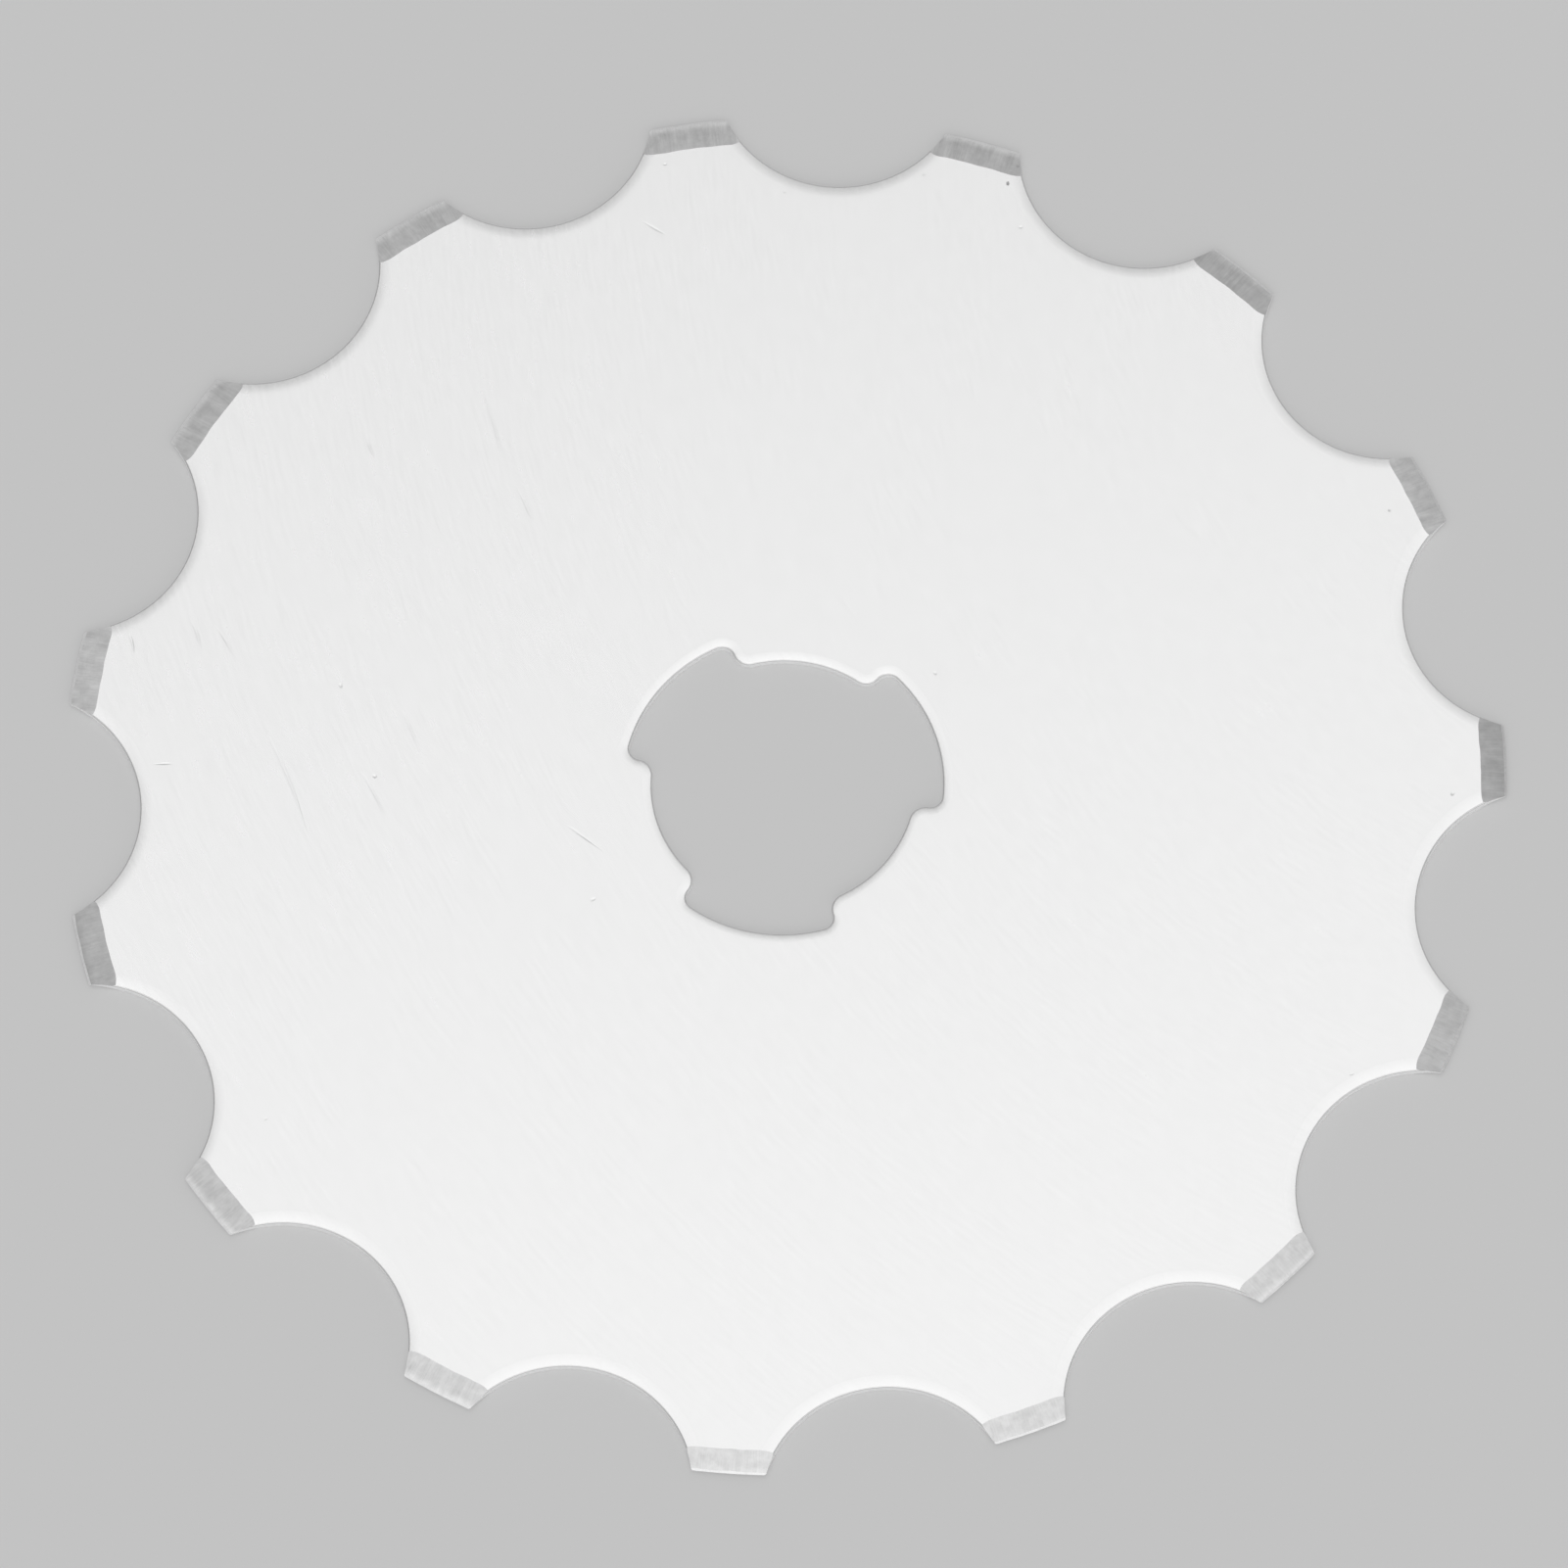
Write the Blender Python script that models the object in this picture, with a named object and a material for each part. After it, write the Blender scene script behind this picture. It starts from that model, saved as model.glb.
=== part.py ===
"""Scalloped rotary cutter blade, cut from one piece of hardened steel strip.

The blade lies flat, with +Z along the axis it spins on and its origin on that axis at
mid-thickness. Its first tooth is centred on +X. A flat blank with rounded tooth corners
is ground to a double bevel round its rim, then a row of round scallops and a centre hole
with drive lobes are cut through it. The cuts leave a shallow rolled edge on the front face.
"""

import math

import bmesh
import bpy
from mathutils import Vector

MM = 0.001

# Disc
EDGE_DIAMETER = 45.0 * MM
THICKNESS = 0.30 * MM
RIM_RUN_OUT = 0.12 * MM           # how far the ground rim's centre lies off the axis
RIM_RUN_OUT_TURN = math.radians(-85.0)

# Teeth
TEETH = 15
SCALLOP_RADIUS = 3.93 * MM
SCALLOP_DEPTH = 2.46 * MM         # from the edge circle to the bottom of a scallop
SHALLOW_SCALLOPS = (5, 6)         # the two that the punch left short, by number
SHALLOW_BY = 0.10 * MM
TOOTH_CORNER_RADIUS = 0.10 * MM

# Double bevel, given for one face
BEVEL_WIDTH = 0.84 * MM
HONED_WIDTH = 0.07 * MM           # narrow steeper facet at the very edge
HONED_ANGLE = math.radians(17.0)  # between the honed facet and the middle plane

# Centre hole
BORE_DIAMETER = 8.18 * MM
LOBES = 3
LOBE_DIAMETER = 9.94 * MM
LOBE_SPREAD = math.radians(59.5)
LOBE_TURN = math.radians(18.0)    # middle of the first lobe, from the first tooth
LOBE_CORNER_RADIUS = 0.38 * MM
LOBE_SHOULDER_RADIUS = 0.53 * MM

# Edge that the cuts roll over on the front face
SCALLOP_ROLL_WIDTH = 0.40 * MM
SCALLOP_ROLL_DEPTH = 0.016 * MM
HOLE_ROLL_WIDTH = 0.22 * MM
HOLE_ROLL_DEPTH = 0.010 * MM
ROLL_STEPS = 3

# Making
STOCK = 0.005 * MM                # what the blank has beyond the finished outline
OVERRUN = 1.0 * MM                # how far the cutting shapes pass the faces
CHORD_ERROR = 0.004 * MM          # most that a straight step may cut off a curve

STEEL_COLOUR = (0.78, 0.78, 0.79, 1.0)
STEEL_ROUGHNESS = 0.32

EDGE_RADIUS = EDGE_DIAMETER / 2
TOP = THICKNESS / 2
PITCH = math.tau / TEETH
AXIS = Vector((0.0, 0.0))


def polar(radius, angle):
    return Vector((math.cos(angle), math.sin(angle))) * radius


def heading(start, end):
    """Angle of the direction from one point to another."""
    return math.atan2(end.y - start.y, end.x - start.x)


def steps_for(radius, turn):
    """Straight steps that keep an arc within CHORD_ERROR of its curve."""
    widest = 2 * math.acos(1 - min(CHORD_ERROR / radius, 1.0))
    return max(2, math.ceil(abs(turn) / widest))


def arc(centre, radius, start, end, steps=None):
    """Points from start to end, taken the short way round and with both ends."""
    turn = (end - start + math.pi) % math.tau - math.pi
    steps = steps or steps_for(radius, turn)
    return [centre + polar(radius, start + turn * i / steps) for i in range(steps + 1)]


def circle(centre, radius, steps):
    return [centre + polar(radius, math.tau * i / steps) for i in range(steps)]


def meeting_point(centre_a, radius_a, centre_b, radius_b, side):
    """Where two circles meet, left (+1) or right (-1) of the line from a to b."""
    line = centre_b - centre_a
    along = (line.length_squared + radius_a ** 2 - radius_b ** 2) / (2 * line.length)
    across = side * math.sqrt(radius_a ** 2 - along ** 2)
    unit = line.normalized()
    return centre_a + unit * along + Vector((-unit.y, unit.x)) * across


def stack(name, levels):
    """Closed solid through outlines of equal point count, given from the lowest height up."""
    shape = bmesh.new()
    rings = [[shape.verts.new((p.x, p.y, z)) for p in outline] for outline, z in levels]
    for low, high in zip(rings, rings[1:]):
        for i in range(len(low)):
            shape.faces.new((low[i - 1], low[i], high[i], high[i - 1]))
    shape.faces.new(reversed(rings[0]))
    shape.faces.new(rings[-1])
    return finished(name, shape)


def finished(name, shape):
    mesh = bpy.data.meshes.new(name)
    shape.to_mesh(mesh)
    shape.free()
    mesh.shade_smooth()
    mesh.set_sharp_from_angle(angle=math.radians(25.0))
    made = bpy.data.objects.new(name, mesh)
    bpy.context.collection.objects.link(made)
    return made


def joined(name, parts):
    """One cutter out of several that don't touch."""
    shape = bmesh.new()
    for part in parts:
        shape.from_mesh(part.data)
        mesh = part.data
        bpy.data.objects.remove(part)
        bpy.data.meshes.remove(mesh)
    return finished(name, shape)


def rim_centre():
    return polar(RIM_RUN_OUT, RIM_RUN_OUT_TURN)


def scallop_centre(index):
    """Centre of the scallop that follows tooth number index."""
    depth = SCALLOP_DEPTH
    if index % TEETH in SHALLOW_SCALLOPS:
        depth -= SHALLOW_BY
    return polar(EDGE_RADIUS - depth + SCALLOP_RADIUS, PITCH * (index + 0.5))


def blank_outline():
    """The toothed outline with rounded corners, STOCK larger than the finished one."""
    corner = TOOTH_CORNER_RADIUS
    rim = rim_centre()
    rim_radius = EDGE_RADIUS + STOCK
    scallop_radius = SCALLOP_RADIUS - STOCK
    points = []
    for tooth in range(TEETH):
        before, after = scallop_centre(tooth - 1), scallop_centre(tooth)
        reach = (rim_radius - corner, scallop_radius + corner)
        leading = meeting_point(rim, reach[0], before, reach[1], +1)
        trailing = meeting_point(rim, reach[0], after, reach[1], -1)
        following = meeting_point(rim, reach[0], after, reach[1], +1)
        leading_out, trailing_out = heading(rim, leading), heading(rim, trailing)
        runs = (
            arc(leading, corner, heading(leading, before), leading_out),
            arc(rim, rim_radius, leading_out, trailing_out),
            arc(trailing, corner, trailing_out, heading(trailing, after)),
            arc(after, scallop_radius, heading(after, trailing), heading(after, following)),
        )
        for run in runs:
            points.extend(run[:-1])
    return points


def hole_outline(grown=0.0):
    """The bore and its lobes, counter-clockwise, moved out by a distance."""
    bore, lobe = BORE_DIAMETER / 2, LOBE_DIAMETER / 2
    corner, shoulder = LOBE_CORNER_RADIUS, LOBE_SHOULDER_RADIUS
    half = LOBE_SPREAD / 2
    gap = math.tau / LOBES
    corner_turn = half - math.asin(corner / (lobe - corner))
    shoulder_turn = half + math.asin(shoulder / (bore + shoulder))
    steps = {
        "bore": steps_for(bore, gap - 2 * shoulder_turn),
        "shoulder": steps_for(shoulder, math.pi / 2),
        "corner": steps_for(corner, math.pi / 2),
        "lobe": steps_for(lobe, 2 * corner_turn),
    }
    points = []
    for index in range(LOBES):
        middle = LOBE_TURN + gap * index
        first, last = middle - half, middle + half
        first_shoulder = polar(bore + shoulder, middle - shoulder_turn)
        first_corner = polar(lobe - corner, middle - corner_turn)
        last_corner = polar(lobe - corner, middle + corner_turn)
        last_shoulder = polar(bore + shoulder, middle + shoulder_turn)
        quarter = math.pi / 2
        runs = (
            arc(first_shoulder, shoulder - grown, middle - shoulder_turn + math.pi,
                first + quarter, steps["shoulder"]),
            arc(first_corner, corner + grown, first - quarter,
                middle - corner_turn, steps["corner"]),
            arc(AXIS, lobe + grown, middle - corner_turn,
                middle + corner_turn, steps["lobe"])[1:-1],
            arc(last_corner, corner + grown, middle + corner_turn,
                last + quarter, steps["corner"]),
            arc(last_shoulder, shoulder - grown, last - quarter,
                middle + shoulder_turn + math.pi, steps["shoulder"]),
            arc(AXIS, bore + grown, middle + shoulder_turn,
                middle + gap - shoulder_turn, steps["bore"])[1:-1],
        )
        for run in runs:
            points.extend(run)
    return points


def roll_levels(width, depth):
    """Pairs of (distance out from the cut wall, height) up the rolled edge and past the face."""
    levels = []
    for i in range(ROLL_STEPS + 1):
        share = i / ROLL_STEPS
        levels.append((width * share, TOP - depth * (1 - share) ** 2))
    (out_a, height_a), (out_b, height_b) = levels[-2:]
    levels[-1] = (2 * out_b - out_a, 2 * height_b - height_a)
    return levels


def punch(name, outline_at, roll_width, roll_depth):
    """Cutter with upright walls, flared at the front face by the rolled edge."""
    flare = roll_levels(roll_width, roll_depth)
    levels = [(outline_at(0.0), -TOP - OVERRUN)]
    levels += [(outline_at(out), height) for out, height in flare]
    levels.append((outline_at(flare[-1][0]), TOP + OVERRUN))
    return stack(name, levels)


def scallop_punches():
    steps = steps_for(SCALLOP_RADIUS, math.tau)

    def one(index):
        def outline_at(out):
            return circle(scallop_centre(index), SCALLOP_RADIUS + out, steps)

        return punch("scallop_punch", outline_at, SCALLOP_ROLL_WIDTH, SCALLOP_ROLL_DEPTH)

    return joined("scallop_punches", [one(index) for index in range(TEETH)])


def hole_punch():
    return punch("hole_punch", hole_outline, HOLE_ROLL_WIDTH, HOLE_ROLL_DEPTH)


def ground_envelope():
    """Double cone that the grinding leaves: bevels outside, clear of the faces inside."""
    honed_height = HONED_WIDTH * math.tan(HONED_ANGLE)
    run_per_rise = (BEVEL_WIDTH - HONED_WIDTH) / (TOP - honed_height)
    clear = TOP + THICKNESS
    sizes = (
        (BEVEL_WIDTH + (clear - TOP) * run_per_rise, clear),
        (HONED_WIDTH, honed_height),
    )
    steps = steps_for(EDGE_RADIUS, math.tau)

    def ring(inset):
        return circle(rim_centre(), EDGE_RADIUS - inset, steps)

    below = [(ring(inset), -height) for inset, height in sizes]
    above = [(ring(inset), height) for inset, height in reversed(sizes)]
    return stack("ground_envelope", [*below, (ring(0.0), 0.0), *above])


def steel():
    material = bpy.data.materials.new("hardened_steel")
    material.use_nodes = True
    shader = material.node_tree.nodes["Principled BSDF"]
    shader.inputs["Base Color"].default_value = STEEL_COLOUR
    shader.inputs["Metallic"].default_value = 1.0
    shader.inputs["Roughness"].default_value = STEEL_ROUGHNESS
    return material


def cut(target, operation, tool):
    tool.hide_render = True
    tool.display_type = "WIRE"
    step = target.modifiers.new(tool.name, "BOOLEAN")
    step.operation = operation
    step.object = tool


def build():
    for old in list(bpy.data.objects):
        bpy.data.objects.remove(old)
    outline = blank_outline()
    blade = stack("blade", [(outline, -TOP), (outline, TOP)])
    cut(blade, "INTERSECT", ground_envelope())
    cut(blade, "DIFFERENCE", scallop_punches())
    cut(blade, "DIFFERENCE", hole_punch())
    blade.data.materials.append(steel())


build()
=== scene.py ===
import math
import random

import bmesh
import bpy
from mathutils import Matrix, Vector


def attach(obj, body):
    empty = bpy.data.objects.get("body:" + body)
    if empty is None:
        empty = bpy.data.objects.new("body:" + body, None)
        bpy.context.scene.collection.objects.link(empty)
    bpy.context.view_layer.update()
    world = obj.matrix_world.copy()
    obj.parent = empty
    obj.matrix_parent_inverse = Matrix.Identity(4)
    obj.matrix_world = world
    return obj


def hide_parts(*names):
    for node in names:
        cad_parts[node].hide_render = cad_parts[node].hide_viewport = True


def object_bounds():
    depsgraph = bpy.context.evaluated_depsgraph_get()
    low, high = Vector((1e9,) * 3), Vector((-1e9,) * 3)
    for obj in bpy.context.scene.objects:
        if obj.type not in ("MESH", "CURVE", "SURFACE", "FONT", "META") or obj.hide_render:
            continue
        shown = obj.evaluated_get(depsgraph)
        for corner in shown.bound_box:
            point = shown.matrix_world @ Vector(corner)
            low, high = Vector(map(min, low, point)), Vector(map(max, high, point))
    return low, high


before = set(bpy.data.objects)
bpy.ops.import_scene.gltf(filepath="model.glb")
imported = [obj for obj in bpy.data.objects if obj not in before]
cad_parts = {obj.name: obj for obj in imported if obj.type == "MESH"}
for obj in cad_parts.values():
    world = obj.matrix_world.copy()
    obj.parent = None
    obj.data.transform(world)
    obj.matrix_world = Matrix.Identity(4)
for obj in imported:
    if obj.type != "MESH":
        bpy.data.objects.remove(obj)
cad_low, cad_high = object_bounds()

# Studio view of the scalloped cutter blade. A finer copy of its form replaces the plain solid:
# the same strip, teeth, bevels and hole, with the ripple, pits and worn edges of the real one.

MM = 0.001
TOP = cad_high.z
BOTTOM = cad_low.z

# Disc and teeth, as in the solid
EDGE_RADIUS = 22.5 * MM
RIM_RUN_OUT = 0.12 * MM
RIM_RUN_OUT_TURN = math.radians(-85.0)
TEETH = 15
PITCH = math.tau / TEETH
SCALLOP_RADIUS = 3.93 * MM
SCALLOP_DEPTH = 2.46 * MM
SHALLOW_SCALLOPS = (5, 6)
SHALLOW_BY = 0.10 * MM
TOOTH_CORNER_RADIUS = 0.10 * MM

# Double bevel
BEVEL_WIDTHS = (0.80, 0.78, 0.83, 0.85, 0.91, 0.87, 0.87, 0.87, 0.87, 0.87, 0.84, 0.75, 0.77,
                0.82, 0.85)       # by tooth, in millimetres
HONED_WIDTH = 0.07 * MM
HONED_ANGLE = math.radians(17.0)
BEVEL_CROWN = 0.003 * MM          # how far a bevel's middle stands above the straight line
BEVEL_RINGS = 6
# Painted shine on single teeth's bevels: their tone as a share of the usual one, lighter or
# darker to stand in for the light that each bevel reflects
BEVEL_PAINTED_SHINE = {0: 0.86, 1: 1.12, 2: 0.94, 3: 0.97, 7: 1.12, 8: 0.88, 9: 0.97, 14: 0.90}
# How much of the usual painted highlight towards the edge a tooth has, where it differs
PAINTED_EDGE_HIGHLIGHT_BY_TOOTH = {0: 0.0, 1: 0.0, 3: 1.5, 4: 1.5, 7: 0.0, 8: -0.6, 9: 1.4, 11: 0.5, 12: 0.3,
                   14: 0.3}

# Centre hole
BORE_RADIUS = 4.09 * MM
LOBES = 3
LOBE_RADIUS = 4.97 * MM
LOBE_SPREAD = math.radians(59.5)
LOBE_TURN = math.radians(18.0)
LOBE_CORNER_RADIUS = 0.38 * MM
LOBE_SHOULDER_RADIUS = 0.53 * MM

# Rolled edges of the cuts
SCALLOP_ROLL_WIDTH = 0.40 * MM
SCALLOP_ROLL_DEPTH = 0.016 * MM
HOLE_ROLL_WIDTH = 0.30 * MM
HOLE_ROLL_DEPTH = 0.015 * MM
ROLL_STEPS = 8
SHOULDER_RADIUS = 0.045 * MM      # rounding where a cut wall meets the rolled edge
SHOULDER_STEPS = 5
SHOULDER_CLEAR = 1.05             # share of its radius beyond which the plain roll goes on

# Ripple that the grinding leaves in the bevel's lines: height, and waves round the rim
BEVEL_RIPPLE = 0.006 * MM
BEVEL_WAVES = (31, 67, 113, 191)
HONED_RIPPLE = 0.006 * MM
HONED_WAVES = (19, 43, 71, 109, 163)
EDGE_RIPPLE = 0.0015 * MM
EDGE_WAVES = (61, 97, 151, 211)
FRONT_SEED, BACK_SEED, EDGE_SEED = 11, 23, 7
RIM_STEPS = 2880

# Pits: place, width and depth in millimetres
PITS = (
    (7.65, 19.82, 0.12, 0.010),
    (19.21, 8.41, 0.10, 0.0078),
    (20.80, -1.09, 0.12, 0.0078),
    (-12.72, 0.71, 0.14, 0.005),
    (-13.71, 3.76, 0.14, 0.004),
    (-6.03, -3.61, 0.15, 0.004),
    (-3.11, 20.86, 0.10, 0.005),
    (4.84, 3.50, 0.13, 0.004),
    (8.01, 18.33, 0.12, 0.004),
    (0.64, 19.79, 0.08, 0.005),
    (5.03, 20.21, 0.08, 0.007),
    (17.30, -10.21, 0.10, 0.004),
    (-16.36, -10.47, 0.10, 0.003),
)
BEVEL_PIT = (7.99, 20.44, 0.10, 0.008)
BEVEL_PIT_HEIGHT = 0.084 * MM

# Scratches in the front face: two ends, width, depth and bend in millimetres
SCRATCHES = (
    (-16.06, 2.40, -14.82, -1.15, 0.12, 0.0040, 0.14),
    (-13.15, 0.95, -12.40, -0.70, 0.11, 0.0038, 0.05),
    (-11.80, 2.85, -11.25, 1.35, 0.11, 0.0036, 0.04),
    (-7.98, 10.05, -7.56, 9.00, 0.12, 0.0042, 0.02),
    (-6.80, -1.10, -5.70, -2.00, 0.10, 0.0042, 0.00),
    (-20.25, 5.72, -20.14, 5.05, 0.09, 0.0048, 0.05),
    (-18.29, 6.10, -18.02, 5.15, 0.12, 0.0046, 0.00),
    (-17.50, 5.80, -17.02, 4.90, 0.12, 0.0042, 0.03),
    (-19.00, 1.36, -19.58, 1.36, 0.09, 0.0052, 0.00),
    (-12.74, 12.10, -12.50, 11.35, 0.11, 0.0042, 0.00),
    (-9.00, 13.35, -8.42, 10.95, 0.10, 0.0034, 0.06),
    (-3.85, 18.96, -3.15, 18.48, 0.10, 0.0034, 0.00),
)

# How pits and scratches are cut
PIT_DARK_FROM = 0.008             # depth in millimetres from which a pit gets the darker pit steel
PIT_STEPS, SCRATCH_STEPS = 24, 64
PIT_POWER, SCRATCH_POWER = 2.0, 1.2    # 2 gives a round bowl, 1 a plain cone
BOWL_SHARES = (0.02, 0.25, 0.45, 0.65, 0.85, 1.0, 1.2)    # rings, out from the middle
MARKS_SEED = 5

# Making
CHORD_ERROR = 0.0004 * MM         # most that a straight step may cut off a curve
STOCK = 0.005 * MM                # what the blank has beyond the finished outline
OVERRUN = 1.0 * MM                # how far the cutting shapes pass the faces
SHARP_FROM = math.radians(25.0)

# Grinding strokes on the face, in millimetres: middles of the arcs that they follow, and the
# width and length of each kind
GRIND_CENTRE = Vector((38.0, 22.0, 0.0))
CROSS_CENTRE = Vector((-30.0, -14.0, 0.0))
FINE_STROKES, BROAD_STROKES, CROSS_STROKES = (0.13, 1.0), (0.35, 3.0), (0.10, 0.9)
STROKES_FROM, STROKES_FULL = 5.0, 13.0    # how far to the left they start, and are strongest
STROKES_LEAST = 0.55                      # their strength elsewhere

# Lines out to the edge on the bevels and the honed facet: width and length in millimetres
FINE_LINES, BROAD_LINES, HONED_LINES = (0.06, 0.7), (0.30, 1.5), (0.05, 2.0)
# Painted highlight that lightens the bevels towards the rim
PAINTED_EDGE_HIGHLIGHT_SPAN = (22.20, 22.45)       # where a bevel gets its painted highlight, from the rim's middle
PAINTED_EDGE_HIGHLIGHT_GAIN = 0.20

# Looks of the steel: tone, roughness and height of the fine relief. Pairs are a range.
FACE_TONE, FACE_ROUGHNESS, FACE_RELIEF = 0.80, 0.26, 0.0005 * MM
# The walls' near-white tones are partly painted light, lifting the cut walls as if lit from the
# front
WALL_TONES, WALL_ROUGHNESS, WALL_RELIEF = (0.96, 0.90), (0.48, 0.64), 0.004 * MM
BEVEL_TONE, BEVEL_ROUGHNESS, BEVEL_RELIEF = 0.67, 0.36, 0.0015 * MM
# The honed facet's high tone is partly its finer finish and partly a painted highlight along the
# rim
HONED_TONES, HONED_ROUGHNESS, HONED_RELIEF = (0.90, 0.98), (0.33, 0.41), 0.0003 * MM
PIT_TONES, PIT_ROUGHNESS, PIT_RELIEF = (0.48, 0.62), 0.6, 0.003 * MM
WALL_METAL = 0.3                  # a torn wall scatters light as a dull surface does; with its near-white tone this is also painted light, as if lit from the front
PIT_METAL = 0.8

# Camera, placed as the photograph's
CAMERA_LENS = 513.26
SENSOR_WIDTH = 36.0
CAMERA_DISTANCE = 696.0 * MM
CAMERA_ELEVATION = math.radians(69.926)
CAMERA_AZIMUTH = math.radians(1.010)
CAMERA_ROLL = math.radians(-2.895)
CAMERA_AIM = Vector((0.0185 * MM, -0.0106 * MM, TOP - 0.004 * MM))
CAMERA_CLIP = (0.01, 50.0)

# Studio, in metres and watts
SKY_HIGH = (1.673, -1.058, -0.191, -0.390, -1.096)   # level, change with z, x, y and x squared
SKY_LOW = (0.580, 0.220, -0.320)                     # level, change with x and y
SKY_JOIN = (0.25, 0.75)                              # heights where low goes over into high
SKY_LEAST = 0.02
LAMP_PLACE = (0.102, 0.228, 2.0)
LAMP_SIZE = (1.332, 1.480)
LAMP_POWER = 3.61
FLOOR_SIZE = 16.0
FLOOR_GAP = 0.002 * MM
FLOOR_COLOUR = 0.80
FLOOR_ROUGHNESS = 0.9
FLOOR_GLOSS = 0.1
FLOOR_GLOW = 0.52                 # level that the floor is lifted to where it is seen
FLOOR_GLOW_SHARE = 0.45

# Zones of the surface, in the order of their steels in STEELS
FACE, ROLL, WALL, BEVEL, HONED, PIT, MARK = range(7)
AXIS = Vector((0.0, 0.0))


def polar(radius, angle):
    return Vector((math.cos(angle), math.sin(angle))) * radius


def heading(start, end):
    """Angle of the direction from one point to another."""
    return math.atan2(end.y - start.y, end.x - start.x)


def steps_for(radius, turn):
    """Straight steps that keep an arc within CHORD_ERROR of its curve."""
    widest = 2 * math.acos(1 - CHORD_ERROR / radius)
    return max(2, math.ceil(abs(turn) / widest))


def arc(centre, radius, start, end, steps=None):
    """Points from start to end, taken the short way round and with both ends."""
    turn = (end - start + math.pi) % math.tau - math.pi
    steps = steps or steps_for(radius, turn)
    return [centre + polar(radius, start + turn * i / steps) for i in range(steps + 1)]


def circle(centre, radius, steps):
    return [centre + polar(radius, math.tau * i / steps) for i in range(steps)]


def meeting_point(centre_a, radius_a, centre_b, radius_b, side):
    """Where two circles meet, left (+1) or right (-1) of the line from a to b."""
    line = centre_b - centre_a
    along = (line.length_squared + radius_a ** 2 - radius_b ** 2) / (2 * line.length)
    across = side * math.sqrt(radius_a ** 2 - along ** 2)
    unit = line.normalized()
    return centre_a + unit * along + Vector((-unit.y, unit.x)) * across


def ripple(seed, height, waves):
    """A wavering amount round the rim, made of sine waves of the given counts."""
    draw = random.Random(seed)
    parts = [(count, draw.uniform(0, math.tau), draw.uniform(0.4, 1.0)) for count in waves]
    total = math.sqrt(sum(size ** 2 for _, _, size in parts) / 2)

    def at(angle):
        return height / total * sum(size * math.sin(n * angle + p) for n, p, size in parts)

    return at


def stack(name, levels, bands, cap=FACE):
    """Closed solid through flat outlines of equal point count, from the lowest height up."""
    rings = [[(p.x, p.y, z) for p in outline] for outline, z in levels]
    return skin(name, rings, bands, cap)


def skin(name, rings, bands, cap=FACE):
    """Closed solid through rings of points. bands gives the zone between each two rings."""
    shape = bmesh.new()
    rings = [[shape.verts.new(point) for point in ring] for ring in rings]
    for low, high, zone in zip(rings, rings[1:], bands):
        for i in range(len(low)):
            face = shape.faces.new((low[i - 1], low[i], high[i], high[i - 1]))
            face.material_index = zone
    for ring in (reversed(rings[0]), rings[-1]):
        shape.faces.new(ring).material_index = cap
    return as_object(name, shape, STEELS)


def as_object(name, shape, materials):
    mesh = bpy.data.meshes.new(name)
    shape.to_mesh(mesh)
    shape.free()
    mesh.shade_smooth()
    for material in materials:
        mesh.materials.append(material)
    made = bpy.data.objects.new(name, mesh)
    bpy.context.collection.objects.link(made)
    return made


def joined(name, parts):
    """One cutter out of several that don't touch."""
    shape = bmesh.new()
    for part in parts:
        mesh = part.data
        shape.from_mesh(mesh)
        bpy.data.objects.remove(part)
        bpy.data.meshes.remove(mesh)
    return as_object(name, shape, STEELS)


def rim_centre():
    return polar(RIM_RUN_OUT, RIM_RUN_OUT_TURN)


def scallop_centre(index):
    depth = SCALLOP_DEPTH
    if index % TEETH in SHALLOW_SCALLOPS:
        depth -= SHALLOW_BY
    return polar(EDGE_RADIUS - depth + SCALLOP_RADIUS, PITCH * (index + 0.5))


def blank_outline():
    """The toothed outline with rounded corners, STOCK larger than the finished one."""
    corner = TOOTH_CORNER_RADIUS
    rim = rim_centre()
    rim_radius = EDGE_RADIUS + STOCK
    scallop_radius = SCALLOP_RADIUS - STOCK
    points = []
    for tooth in range(TEETH):
        before, after = scallop_centre(tooth - 1), scallop_centre(tooth)
        reach = (rim_radius - corner, scallop_radius + corner)
        leading = meeting_point(rim, reach[0], before, reach[1], +1)
        trailing = meeting_point(rim, reach[0], after, reach[1], -1)
        following = meeting_point(rim, reach[0], after, reach[1], +1)
        leading_out, trailing_out = heading(rim, leading), heading(rim, trailing)
        runs = (
            arc(leading, corner, heading(leading, before), leading_out),
            arc(rim, rim_radius, leading_out, trailing_out),
            arc(trailing, corner, trailing_out, heading(trailing, after)),
            arc(after, scallop_radius, heading(after, trailing), heading(after, following)),
        )
        for run in runs:
            points.extend(run[:-1])
    return points


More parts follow.
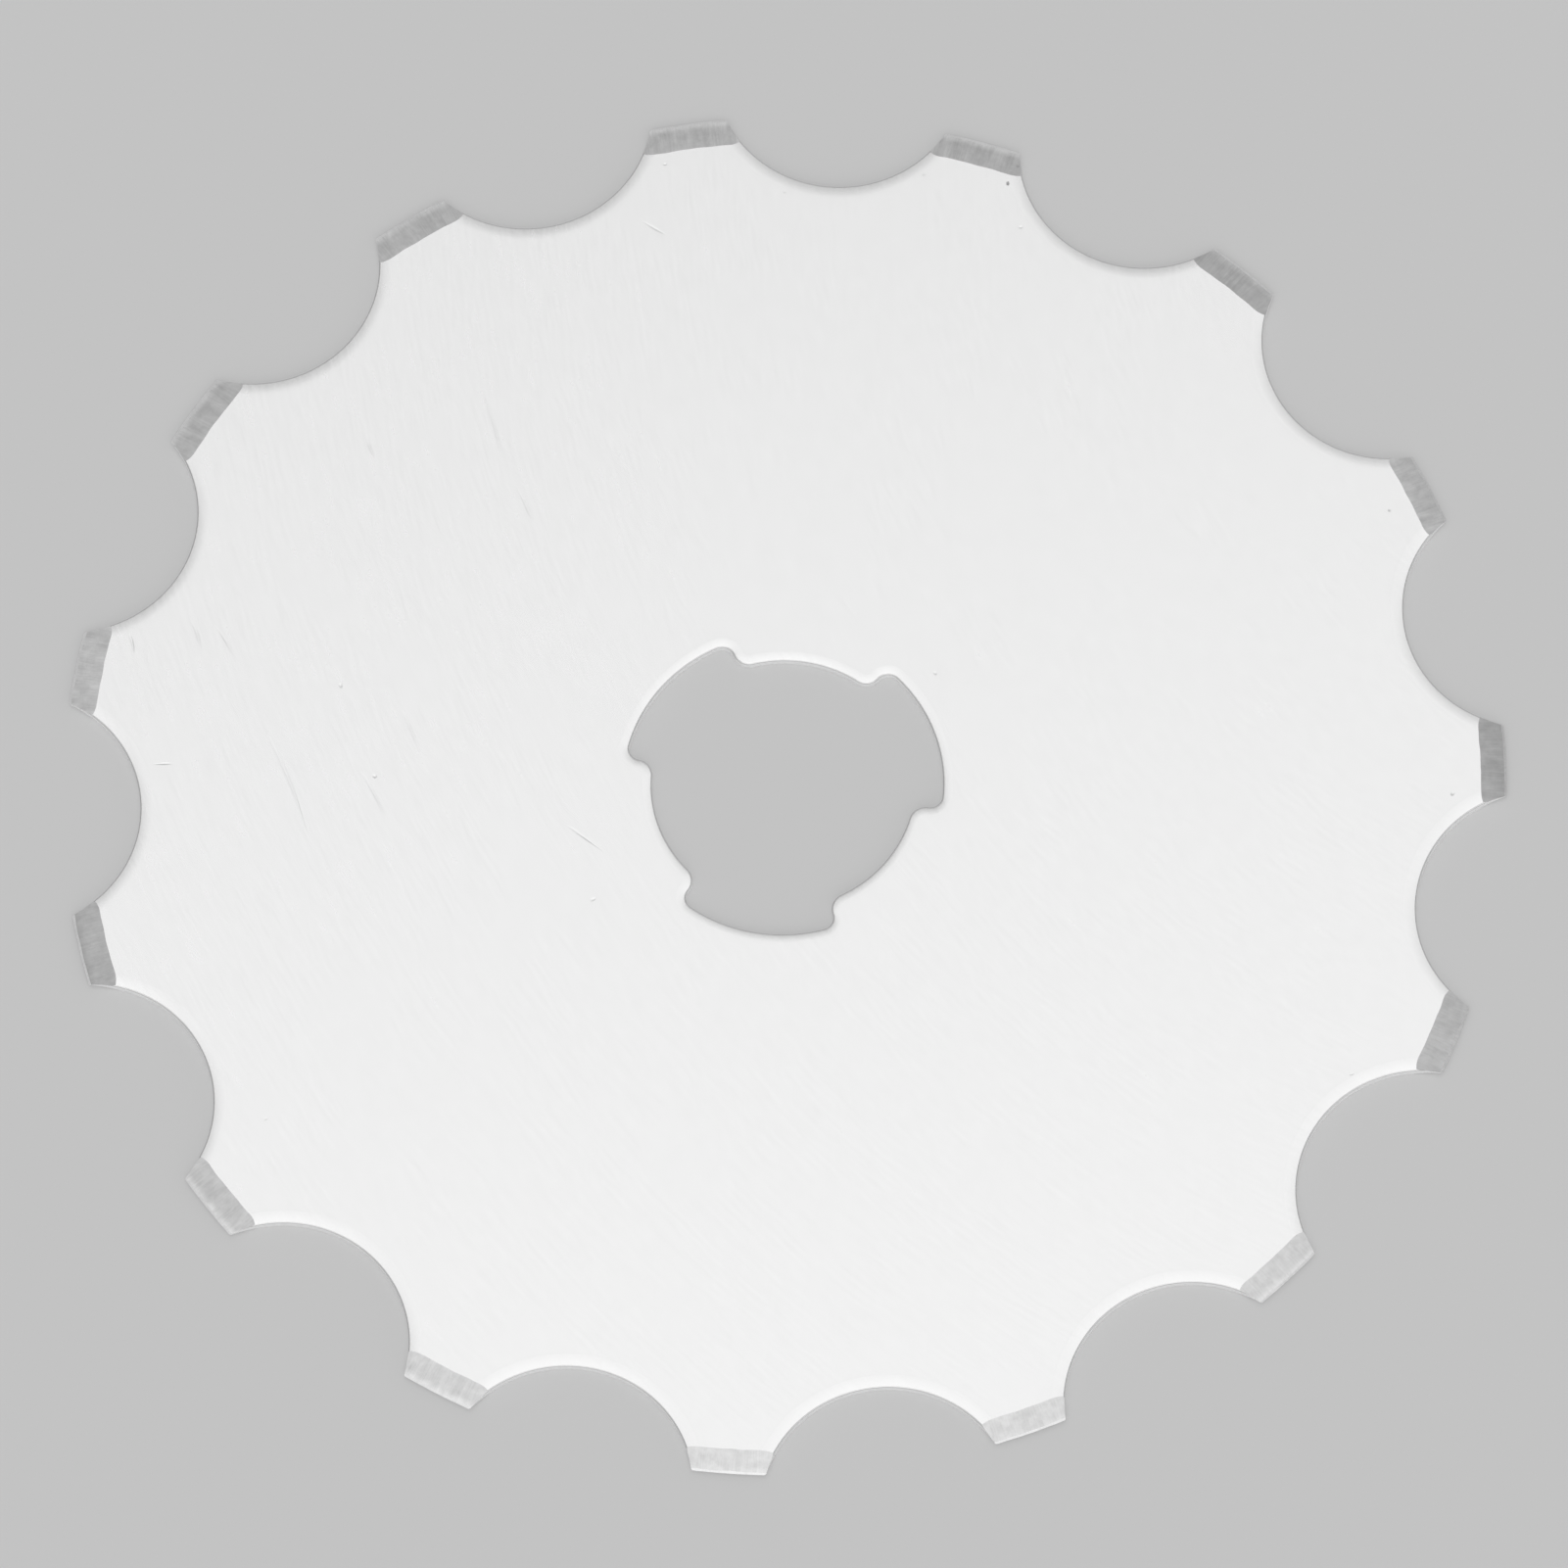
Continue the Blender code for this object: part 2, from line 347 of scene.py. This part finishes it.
def hole_outline(grown=0.0):
    """The bore and its lobes, counter-clockwise, moved out by a distance.

    Shoulder and corner arcs pass each other by a hair, so the ends where they meet are left out.
    """
    corner, shoulder = LOBE_CORNER_RADIUS, LOBE_SHOULDER_RADIUS
    half = LOBE_SPREAD / 2
    gap = math.tau / LOBES
    quarter = math.pi / 2
    corner_turn = half - math.asin(corner / (LOBE_RADIUS - corner))
    shoulder_turn = half + math.asin(shoulder / (BORE_RADIUS + shoulder))
    bore_steps = steps_for(BORE_RADIUS, gap - 2 * shoulder_turn)
    lobe_steps = steps_for(LOBE_RADIUS, 2 * corner_turn)
    shoulder_steps = steps_for(shoulder, quarter)
    corner_steps = steps_for(corner, quarter)
    points = []
    for index in range(LOBES):
        middle = LOBE_TURN + gap * index
        first, last = middle - half, middle + half
        first_shoulder = polar(BORE_RADIUS + shoulder, middle - shoulder_turn)
        first_corner = polar(LOBE_RADIUS - corner, middle - corner_turn)
        last_corner = polar(LOBE_RADIUS - corner, middle + corner_turn)
        last_shoulder = polar(BORE_RADIUS + shoulder, middle + shoulder_turn)
        runs = (
            arc(first_shoulder, shoulder - grown, middle - shoulder_turn + math.pi,
                first + quarter, shoulder_steps)[:-1],
            arc(first_corner, corner + grown, first - quarter,
                middle - corner_turn, corner_steps)[1:],
            arc(AXIS, LOBE_RADIUS + grown, middle - corner_turn,
                middle + corner_turn, lobe_steps)[1:-1],
            arc(last_corner, corner + grown, middle + corner_turn,
                last + quarter, corner_steps)[:-1],
            arc(last_shoulder, shoulder - grown, last - quarter,
                middle + shoulder_turn + math.pi, shoulder_steps)[1:],
            arc(AXIS, BORE_RADIUS + grown, middle + shoulder_turn,
                middle + gap - shoulder_turn, bore_steps)[1:-1],
        )
        for run in runs:
            points.extend(run)
    return points


def roll_levels(width, depth):
    """Pairs of (distance out from the cut wall, height) up the rolled edge and past the face."""
    levels = []
    for i in range(ROLL_STEPS + 1):
        share = i / ROLL_STEPS
        levels.append((width * share, TOP - depth * (1 - share) ** 2))
    (out_a, height_a), (out_b, height_b) = levels[-2:]
    levels[-1] = (2 * out_b - out_a, 2 * height_b - height_a)
    radius = SHOULDER_RADIUS
    rounded = []
    for i in range(SHOULDER_STEPS + 1):
        turn = math.pi / 2 * i / SHOULDER_STEPS
        out = radius * (1 - math.cos(turn))
        height = TOP - depth * (1 - out / width) ** 2 - radius * (1 - math.sin(turn))
        rounded.append((out, height))
    return rounded + [level for level in levels if level[0] > SHOULDER_CLEAR * radius]


def punch(name, outline_at, roll_width, roll_depth):
    """Cutter with upright walls, rounded and flared at the front face."""
    flare = roll_levels(roll_width, roll_depth)
    levels = [(outline_at(0.0), BOTTOM - OVERRUN)]
    levels += [(outline_at(out), height) for out, height in flare]
    levels.append((outline_at(flare[-1][0]), TOP + OVERRUN))
    return stack(name, levels, [WALL] + [ROLL] * (len(levels) - 2))


def scallop_punches():
    steps = steps_for(SCALLOP_RADIUS, math.tau)

    def one(index):
        def outline_at(out):
            return circle(scallop_centre(index), SCALLOP_RADIUS + out, steps)

        return punch("scallop_punch", outline_at, SCALLOP_ROLL_WIDTH, SCALLOP_ROLL_DEPTH)

    return joined("scallop_punches", [one(index) for index in range(TEETH)])


def hole_punch():
    return punch("hole_punch", hole_outline, HOLE_ROLL_WIDTH, HOLE_ROLL_DEPTH)


def bevel_width(angle):
    """Width of the bevel round the rim, from one tooth's value to the next's."""
    place = angle / PITCH
    tooth = math.floor(place)
    share = (1 - math.cos(math.pi * (place - tooth))) / 2
    here, after = BEVEL_WIDTHS[tooth % TEETH], BEVEL_WIDTHS[(tooth + 1) % TEETH]
    return (here + (after - here) * share) * MM


def bevel_points(angle, inner, hone):
    """Pairs of (distance in from the edge, height) from the honed facet up past the face.

    inner and hone move the bevel's inner line and the honed facet's line in from their places.
    """
    width = bevel_width(angle) + inner
    honed_height = HONED_WIDTH * math.tan(HONED_ANGLE)
    rise = (TOP - honed_height) / (width - HONED_WIDTH)
    pairs = []
    for i in range(BEVEL_RINGS + 1):
        share = i / BEVEL_RINGS
        inset = HONED_WIDTH + hone + (width - HONED_WIDTH - hone) * share
        crown = 4 * BEVEL_CROWN * share * (1 - share)
        pairs.append((inset, honed_height + (inset - HONED_WIDTH) * rise + crown))
    (inset_a, height_a), (inset_b, height_b) = pairs[-2:]
    pairs.append((2 * inset_b - inset_a, 2 * height_b - height_a))
    return pairs


def ground_envelope():
    """Double cone that the grinding leaves, with the ripple of its lines."""
    angles = [math.tau * i / RIM_STEPS for i in range(RIM_STEPS)]

    def side(seed, direction):
        line = ripple(seed, BEVEL_RIPPLE, BEVEL_WAVES)
        hone = ripple(seed + 1, HONED_RIPPLE, HONED_WAVES)
        rings = [[] for _ in range(BEVEL_RINGS + 2)]
        for angle in angles:
            pairs = bevel_points(angle, line(angle), hone(angle))
            for ring, (inset, height) in zip(rings, pairs):
                point = rim_centre() + polar(EDGE_RADIUS - inset, angle)
                ring.append((point.x, point.y, direction * height))
        return rings

    waver = ripple(EDGE_SEED, EDGE_RIPPLE, EDGE_WAVES)
    edge = []
    for angle in angles:
        point = rim_centre() + polar(EDGE_RADIUS - EDGE_RIPPLE + waver(angle), angle)
        edge.append((point.x, point.y, 0.0))
    back, front = side(BACK_SEED, -1.0), side(FRONT_SEED, 1.0)
    bands = [BEVEL] * (BEVEL_RINGS + 1)
    return skin("ground_envelope", [*reversed(back), edge, *front],
                [*bands, HONED, HONED, *bands])


def bowl(middle, half, width, depth, base, zone, uneven, around, power):
    """Cutter for a shallow bowl.

    half is the way from its middle to one end, and uneven gives, for an angle and a share of
    the way out, how much the bowl swells there and how far it bends aside.
    """
    along = half.normalized()
    across = Vector((-along.y, along.x))
    levels = [(share, base - depth * (1 - share ** power)) for share in BOWL_SHARES]
    levels.append((levels[-1][0], levels[-1][1] + OVERRUN))
    rings = []
    for share, height in levels:
        ring = []
        for i in range(around):
            angle = math.tau * i / around
            swell, bend = uneven(angle, share)
            forth, aside = share * swell * math.cos(angle), share * swell * math.sin(angle)
            point = middle + along * forth * half.length + across * (aside * width / 2 + bend)
            ring.append((point.x, point.y, height))
        rings.append(ring)
    return skin("bowl", rings, [zone] * (len(rings) - 1), zone)


def mark_cutters():
    """Bowls for the pits and, drawn out long, for the scratches."""
    draw = random.Random(MARKS_SEED)

    def pit(x, y, width, depth, base=TOP):
        lean, turn = draw.uniform(0.1, 0.25), draw.uniform(0, math.tau)

        def uneven(angle, share):
            return 1 + lean * math.sin(2 * angle + turn) + 0.08 * math.sin(5 * angle - turn), 0.0

        zone = PIT if depth >= PIT_DARK_FROM else MARK
        return bowl(Vector((x, y)) * MM, Vector((width / 2 * MM, 0.0)), width * MM,
                    depth * MM, base, zone, uneven, PIT_STEPS, PIT_POWER)

    def scratch(x_a, y_a, x_b, y_b, width, depth, bend):
        start, end = Vector((x_a, y_a)) * MM, Vector((x_b, y_b)) * MM
        turn = draw.uniform(0, math.tau)

        def uneven(angle, share):
            swell = 1 + 0.12 * math.sin(3 * angle + turn)
            return swell, bend * MM * (0.5 - (share * math.cos(angle)) ** 2)

        return bowl((start + end) / 2, (end - start) / 2, width * MM, depth * MM, TOP, MARK,
                    uneven, SCRATCH_STEPS, SCRATCH_POWER)

    bowls = [pit(*place) for place in PITS]
    bowls.append(pit(*BEVEL_PIT, BEVEL_PIT_HEIGHT))
    bowls.extend(scratch(*place) for place in SCRATCHES)
    return joined("mark_cutters", bowls)


def cut(target, operation, tool):
    """Cuts the target and drops the tool."""
    step = target.modifiers.new(tool.name, "BOOLEAN")
    step.operation = operation
    step.object = tool
    result = bpy.data.meshes.new_from_object(
        target.evaluated_get(bpy.context.evaluated_depsgraph_get()))
    target.modifiers.clear()
    target.data = result
    bpy.data.objects.remove(tool)


def sharpen(mesh):
    """Sharp edges where two zones meet or the surface bends."""
    shape = bmesh.new()
    shape.from_mesh(mesh)
    for edge in shape.edges:
        zones = {face.material_index for face in edge.link_faces}
        bent = edge.calc_face_angle(0.0) > SHARP_FROM
        edge.smooth = not bent and len(zones) == 1
    shape.to_mesh(mesh)
    shape.free()


def build_blade():
    outline = blank_outline()
    blade = stack("blade_steel", [(outline, BOTTOM), (outline, TOP)], [WALL])
    cut(blade, "INTERSECT", ground_envelope())
    cut(blade, "DIFFERENCE", scallop_punches())
    cut(blade, "DIFFERENCE", hole_punch())
    cut(blade, "DIFFERENCE", mark_cutters())
    blade.data.shade_smooth()
    sharpen(blade.data)
    weigh = blade.modifiers.new("flat_faces", "WEIGHTED_NORMAL")
    weigh.mode = "FACE_AREA"
    weigh.keep_sharp = True
    return blade


class Graph:
    """Short calls to wire a node material. Each call returns the new node's first output."""

    def __init__(self, owner):
        owner.use_nodes = True
        self.material = owner
        self.nodes = owner.node_tree.nodes
        self.links = owner.node_tree.links
        self.shader = self.nodes.get("Principled BSDF")

    def put(self, kind, inputs, **settings):
        node = self.nodes.new(kind)
        for key, value in settings.items():
            setattr(node, key, value)
        for key, value in inputs.items():
            self.feed(node.inputs[key], value)
        return node

    def feed(self, socket, value):
        if isinstance(value, bpy.types.NodeSocket):
            self.links.new(value, socket)
        else:
            socket.default_value = value

    def math(self, operation, *values):
        return self.put("ShaderNodeMath", dict(enumerate(values)), operation=operation).outputs[0]

    def vector(self, operation, *values):
        node = self.put("ShaderNodeVectorMath", dict(enumerate(values)), operation=operation)
        return node.outputs["Value" if operation in ("LENGTH", "DOT_PRODUCT") else "Vector"]

    def scaled(self, vector, amount):
        node = self.put("ShaderNodeVectorMath", {0: vector, "Scale": amount}, operation="SCALE")
        return node.outputs["Vector"]

    def split(self, vector):
        return self.put("ShaderNodeSeparateXYZ", {0: vector}).outputs

    def combine(self, x, y, z=0.0):
        return self.put("ShaderNodeCombineXYZ", {0: x, 1: y, 2: z}).outputs[0]

    def noise(self, vector, scale=1.0, detail=2.0, roughness=0.5):
        node = self.put("ShaderNodeTexNoise", {
            "Vector": vector, "Scale": scale, "Detail": detail, "Roughness": roughness})
        return node.outputs["Fac"]

    def centred(self, value):
        return self.math("SUBTRACT", value, 0.5)

    def times(self, value, factor):
        return self.math("MULTIPLY", value, factor)

    def total(self, first, *rest):
        """Sum of values, where a pair (value, factor) counts as its product."""
        for part in rest:
            value = self.times(*part) if isinstance(part, tuple) else part
            first = self.math("ADD", first, value)
        return first

    def reach(self, x, y):
        """Length of a level vector."""
        return self.math("SQRT", self.math("ADD", self.times(x, x), self.times(y, y)))

    def span(self, value, low, high, to_low=0.0, to_high=1.0):
        """A value's range mapped smoothly to another, and held at its ends."""
        node = self.put("ShaderNodeMapRange", {
            "Value": value, "From Min": low, "From Max": high,
            "To Min": to_low, "To Max": to_high}, interpolation_type="SMOOTHSTEP", clamp=True)
        return node.outputs["Result"]

    def grey(self, value):
        return self.put("ShaderNodeCombineColor", {0: value, 1: value, 2: value}).outputs[0]

    def bump(self, height, distance):
        return self.put("ShaderNodeBump", {
            "Height": height, "Distance": distance, "Strength": 1.0}).outputs[0]

    def place(self):
        """The point on the blade, in millimetres."""
        point = self.put("ShaderNodeTexCoord", {}).outputs["Object"]
        return self.scaled(point, 1 / MM)

    def steel(self, tone, roughness, normal, metallic=1.0):
        """Sets the shader's main looks and gives back the material."""
        looks = {"Base Color": self.grey(tone), "Roughness": roughness, "Normal": normal,
                 "Metallic": metallic}
        for name, value in looks.items():
            self.feed(self.shader.inputs[name], value)
        return self.material


def arc_lines(graph, point, centre, across, along):
    """Noise drawn out along arcs about a point that lies off the blade's middle."""
    x, y, _ = graph.split(graph.vector("SUBTRACT", point, centre))
    turn = graph.math("ARCTAN2", x, graph.times(y, -1.0))
    stretched = graph.combine(graph.math("DIVIDE", graph.reach(x, y), across),
                              graph.times(turn, centre.length / along))
    return graph.centred(graph.noise(stretched, detail=1.5, roughness=0.45))


def radial_lines(graph, point, across, along):
    """Noise drawn out from the middle of the disc to its edge."""
    x, y, _ = graph.split(point)
    unit = graph.vector("NORMALIZE", graph.combine(x, y))
    around_x, around_y, _ = graph.split(graph.scaled(unit, EDGE_RADIUS / MM / across))
    out = graph.math("DIVIDE", graph.reach(x, y), along)
    return graph.centred(graph.noise(graph.combine(around_x, around_y, out),
                                     detail=3.0, roughness=0.6))


def face_steel():
    """Polished face with short strokes of fine grinding, plainest away from its left side."""
    graph = Graph(bpy.data.materials.new("face_steel"))
    point = graph.place()
    fine = arc_lines(graph, point, GRIND_CENTRE, *FINE_STROKES)
    broad = arc_lines(graph, point, GRIND_CENTRE, *BROAD_STROKES)
    crossing = arc_lines(graph, point, CROSS_CENTRE, *CROSS_STROKES)
    patches = graph.span(graph.noise(point, 0.35, 3.0, 0.6), 0.35, 0.65, 0.6, 1.3)
    mottle = graph.centred(graph.noise(point, 1.1, 4.0, 0.6))
    x, y, _ = graph.split(point)
    waver = graph.centred(graph.noise(point, 0.22, 2.0))
    leftness = graph.total(graph.math("MINIMUM", y, 5.0), (x, -1.0), (waver, 14.0))
    strength = graph.span(leftness, STROKES_FROM, STROKES_FULL, STROKES_LEAST, 1.0)
    lines = graph.total(graph.times(fine, 0.8), (broad, 0.25), (crossing, 0.30))
    lines = graph.times(lines, graph.times(strength, patches))
    return graph.steel(graph.total(FACE_TONE, (lines, 0.15), (mottle, 0.02)),
                       graph.total(FACE_ROUGHNESS, (lines, 0.08)),
                       graph.bump(lines, FACE_RELIEF))


def wall_steel():
    """Cut wall, sheared at the front face and torn towards the back; near-white and dull, partly
    its torn finish and partly painted light as if lit from the front.
    """
    graph = Graph(bpy.data.materials.new("wall_steel"))
    point = graph.place()
    x, y, z = graph.split(point)
    streaks = graph.noise(graph.combine(graph.times(x, 28.0), graph.times(y, 28.0),
                                        graph.times(z, 3.0)), 1.0, 3.0)
    rough_grain = graph.noise(point, 35.0, 4.0, 0.7)
    torn = graph.span(graph.total(z, (streaks, 0.04)), 0.0, -0.03)
    grain = graph.total(graph.times(streaks, graph.math("SUBTRACT", 1.0, torn)),
                        (rough_grain, torn))
    # Near-white tone: partly painted light, as if the walls were lit from the front
    tone = graph.total(graph.span(torn, 0.0, 1.0, *WALL_TONES), (graph.centred(grain), 0.20))
    return graph.steel(tone, graph.span(torn, 0.0, 1.0, *WALL_ROUGHNESS),
                       graph.bump(grain, WALL_RELIEF), WALL_METAL)


def bevel_steel():
    """Matte ground bevel, streaked from the face out to the edge, with painted shine on some
    teeth and a painted highlight towards the edge.
    """
    graph = Graph(bpy.data.materials.new("bevel_steel"))
    point = graph.place()
    fine = radial_lines(graph, point, *FINE_LINES)
    broad = radial_lines(graph, point, *BROAD_LINES)
    mottle = graph.centred(graph.noise(point, 3.5, 4.0, 0.65))
    lines = graph.total(graph.times(fine, 0.5), (broad, 0.6))
    tone = graph.total(BEVEL_TONE, (lines, 0.44), (mottle, 0.30))
    # Painted shine: the listed teeth's bevels made lighter or darker
    tone = graph.times(tone, by_tooth(graph, point, BEVEL_PAINTED_SHINE))
    # Painted highlight towards the rim, scaled per tooth
    rim_middle = (rim_centre() / MM).to_3d()
    reach = graph.vector("LENGTH", graph.vector("SUBTRACT", point, rim_middle))
    painted_highlight = graph.times(graph.span(reach, *PAINTED_EDGE_HIGHLIGHT_SPAN, 0.0, PAINTED_EDGE_HIGHLIGHT_GAIN),
                       by_tooth(graph, point, PAINTED_EDGE_HIGHLIGHT_BY_TOOTH))
    return graph.steel(graph.times(tone, graph.total(1.0, painted_highlight)),
                       graph.total(BEVEL_ROUGHNESS, (lines, 0.25)),
                       graph.bump(lines, BEVEL_RELIEF))


def by_tooth(graph, point, shares):
    """A share of the usual amount for the teeth listed, and 1 for the rest."""
    x, y, _ = graph.split(point)
    turn = graph.math("DIVIDE", graph.math("ARCTAN2", y, x), PITCH)
    number = graph.math("FLOORED_MODULO", graph.math("ROUND", turn), float(TEETH))
    changes = [(graph.math("COMPARE", number, float(tooth), 0.5), share - 1.0)
               for tooth, share in shares.items()]
    return graph.total(1.0, *changes)


# Honed facet, toned high: partly its finer finish and partly a painted highlight along the rim
def honed_steel():
    graph = Graph(bpy.data.materials.new("honed_steel"))
    lines = radial_lines(graph, graph.place(), *HONED_LINES)
    return graph.steel(graph.span(lines, -0.2, 0.2, *HONED_TONES),
                       graph.span(lines, -0.2, 0.2, *HONED_ROUGHNESS),
                       graph.bump(lines, HONED_RELIEF))


def pit_steel():
    graph = Graph(bpy.data.materials.new("pit_steel"))
    grain = graph.noise(graph.place(), 40.0, 3.0)
    return graph.steel(graph.span(grain, 0.3, 0.7, *PIT_TONES), PIT_ROUGHNESS,
                       graph.bump(grain, PIT_RELIEF), PIT_METAL)


def make_camera():
    data = bpy.data.cameras.new("camera")
    data.lens = CAMERA_LENS
    data.sensor_width = SENSOR_WIDTH
    data.clip_start, data.clip_end = CAMERA_CLIP
    camera = bpy.data.objects.new("camera", data)
    bpy.context.collection.objects.link(camera)
    level = math.cos(CAMERA_ELEVATION)
    back = Vector((math.sin(CAMERA_AZIMUTH) * level, -math.cos(CAMERA_AZIMUTH) * level,
                   math.sin(CAMERA_ELEVATION)))
    turn = back.to_track_quat("Z", "Y").to_matrix().to_4x4()
    turn = turn @ Matrix.Rotation(CAMERA_ROLL, 4, "Z")
    camera.matrix_world = Matrix.Translation(CAMERA_AIM + back * CAMERA_DISTANCE) @ turn
    bpy.context.scene.camera = camera


def make_floor():
    graph = Graph(bpy.data.materials.new("floor_paper"))
    graph.shader.inputs["Base Color"].default_value = (FLOOR_COLOUR,) * 3 + (1.0,)
    graph.shader.inputs["Roughness"].default_value = FLOOR_ROUGHNESS
    graph.shader.inputs["Specular IOR Level"].default_value = FLOOR_GLOSS
    path = graph.put("ShaderNodeLightPath", {}).outputs
    seen = graph.total(path["Is Camera Ray"], path["Is Glossy Ray"],
                       path["Is Transmission Ray"])
    seen = graph.math("MINIMUM", seen, 1.0)
    glow = graph.put("ShaderNodeEmission", {
        "Color": (FLOOR_GLOW,) * 3 + (1.0,), "Strength": 1.0})
    mix = graph.put("ShaderNodeMixShader", {0: graph.times(seen, FLOOR_GLOW_SHARE)})
    graph.links.new(graph.shader.outputs[0], mix.inputs[1])
    graph.links.new(glow.outputs[0], mix.inputs[2])
    graph.links.new(mix.outputs[0], graph.nodes["Material Output"].inputs["Surface"])

    shape = bmesh.new()
    bmesh.ops.create_grid(shape, x_segments=1, y_segments=1, size=FLOOR_SIZE / 2)
    floor = as_object("floor", shape, [graph.material])
    floor.location.z = BOTTOM - FLOOR_GAP


def make_lights():
    data = bpy.data.lights.new("softbox", "AREA")
    data.shape = "ELLIPSE"
    data.size, data.size_y = LAMP_SIZE
    data.energy = LAMP_POWER
    lamp = bpy.data.objects.new("softbox", data)
    bpy.context.collection.objects.link(lamp)
    lamp.location = LAMP_PLACE
    lamp.visible_camera = False

    world = bpy.data.worlds.new("studio")
    graph = Graph(world)
    toward = graph.put("ShaderNodeTexCoord", {}).outputs["Generated"]
    x, y, z = graph.split(toward)
    level, with_z, with_x, with_y, with_xx = SKY_HIGH
    high = graph.total(level, (z, with_z), (x, with_x), (y, with_y),
                       (graph.times(x, x), with_xx))
    level, with_x, with_y = SKY_LOW
    low = graph.total(level, (x, with_x), (y, with_y))
    level = graph.total(low, (graph.math("SUBTRACT", high, low), graph.span(z, *SKY_JOIN)))
    background = graph.nodes["Background"]
    background.inputs["Color"].default_value = (1.0, 1.0, 1.0, 1.0)
    graph.feed(background.inputs["Strength"], graph.math("MAXIMUM", level, SKY_LEAST))
    bpy.context.scene.world = world


make_camera()
POLISHED = face_steel()
STEELS = [POLISHED, POLISHED, wall_steel(), bevel_steel(), honed_steel(), pit_steel(), POLISHED]
make_floor()
make_lights()

blade = build_blade()
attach(blade, "root")
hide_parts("blade")

bpy.context.scene.view_settings.view_transform = "Standard"
